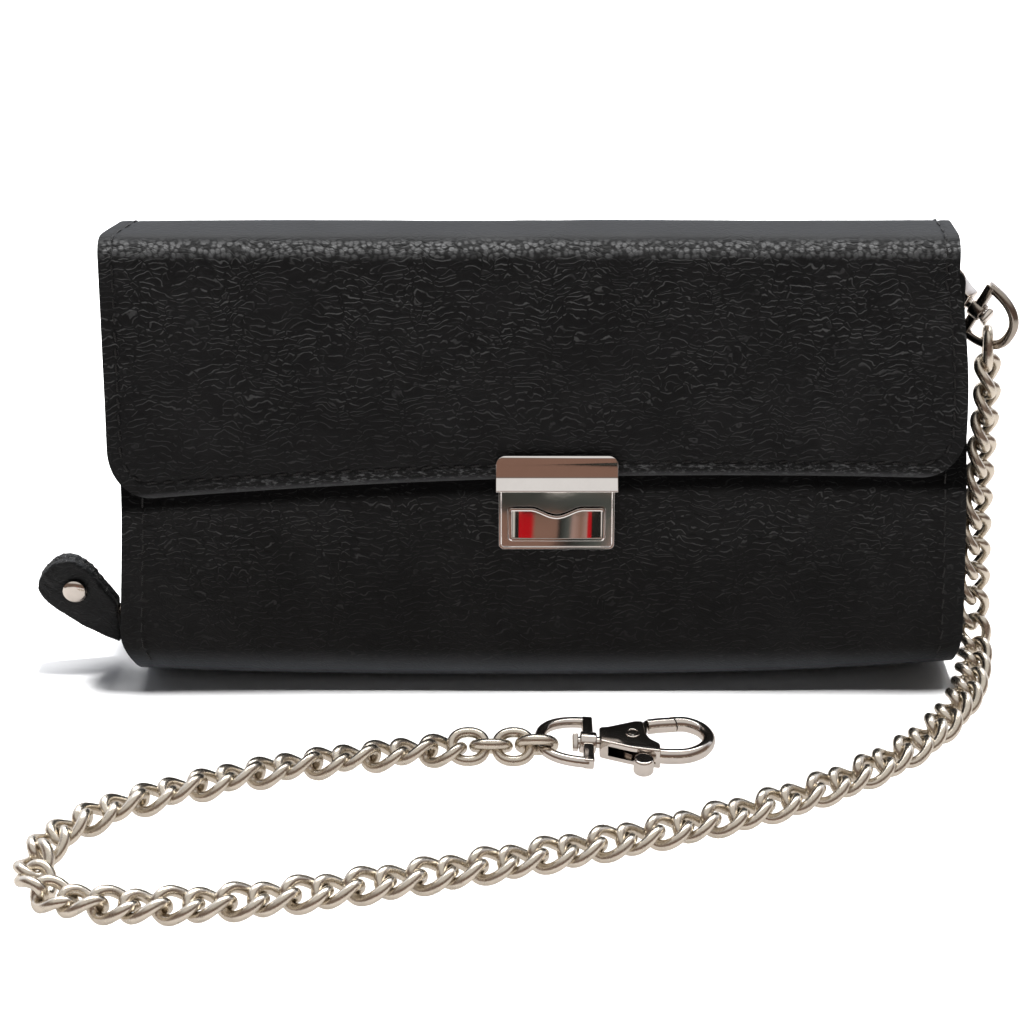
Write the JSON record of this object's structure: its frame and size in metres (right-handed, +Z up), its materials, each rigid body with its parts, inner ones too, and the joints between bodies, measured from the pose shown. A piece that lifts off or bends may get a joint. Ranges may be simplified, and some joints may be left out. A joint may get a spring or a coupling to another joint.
{
  "type": "waiter wallet with chain",
  "caption": "Long leather waiter wallet with a front flap, push lock, zipped inner case and pull tab, and a metal link chain ending in a swivel trigger snap.",
  "frame": {"origin": "middle of the wallet's flat bottom, on the floor", "axes": "+X to the viewer's right along the wallet, +Y from the flap's front to the back, +Z up"},
  "size_m": [0.2121, 0.1325, 0.0966],
  "materials": {
    "leather": "grained",
    "inner_leather": "smooth matt",
    "tape": "woven",
    "chrome": "polished",
    "nickel": "polished"
  },
  "bodies": {
    "wallet": {"outer_cover": "leather", "flap": "leather", "zip_case": "inner_leather", "zip_tape": "tape", "zip_slider": "nickel", "pull_tab": "leather", "pull_rivet": "nickel", "gusset_left": "inner_leather", "gusset_right": "inner_leather", "pocket_side_left": "inner_leather", "pocket_side_right": "inner_leather", "lock_base": "chrome", "lock_flap_plate": "chrome", "snap_ring": "nickel", "wallet_snap_ring": "nickel", "wallet_snap": "nickel", "side_loop": "leather", "link_01": "nickel", "link_02": "nickel", "link_03": "nickel", "link_04": "nickel", "link_05": "nickel", "link_06": "nickel", "chain_run_1": "nickel", "chain_run_2": "nickel", "link_21": "nickel", "link_22": "nickel", "link_23": "nickel", "link_24": "nickel", "link_25": "nickel", "link_26": "nickel", "link_27": "nickel", "link_28": "nickel", "link_29": "nickel", "link_30": "nickel", "chain_run_3": "nickel", "link_37": "nickel", "link_38": "nickel", "link_39": "nickel", "link_40": "nickel", "link_41": "nickel", "link_42": "nickel", "link_43": "nickel", "link_44": "nickel", "link_45": "nickel", "link_46": "nickel", "chain_run_4": "nickel", "chain_run_5": "nickel", "chain_run_6": "nickel", "link_66": "nickel", "link_67": "nickel", "link_68": "nickel", "link_69": "nickel", "link_70": "nickel", "link_71": "nickel"},
    "button": {"lock_button": "chrome"},
    "snap": {"snap_body": "nickel"},
    "lever": {"snap_lever": "nickel"}
  },
  "joints": [
    {"name": "button_press", "type": "slide", "parent": "wallet", "child": "button", "axis": [0, 0.9703, -0.2419], "range_m": [0, 0.0009], "stiffness_N_per_m": 1200, "springref_m": -0.0005},
    {"name": "snap_swivel", "type": "hinge", "parent": "wallet", "child": "snap", "pos_m": [0.0112, -0.0435, 0.00242], "axis": [1, 0, 0], "continuous": true},
    {"name": "lever_swing", "type": "hinge", "parent": "snap", "child": "lever", "pos_m": [0.0181, -0.0432, 0.00242], "axis": [0, 0, -1], "range_deg": [0, 22], "stiffness_Nm_per_rad": 0.04, "springref_deg": -8.59}
  ]
}
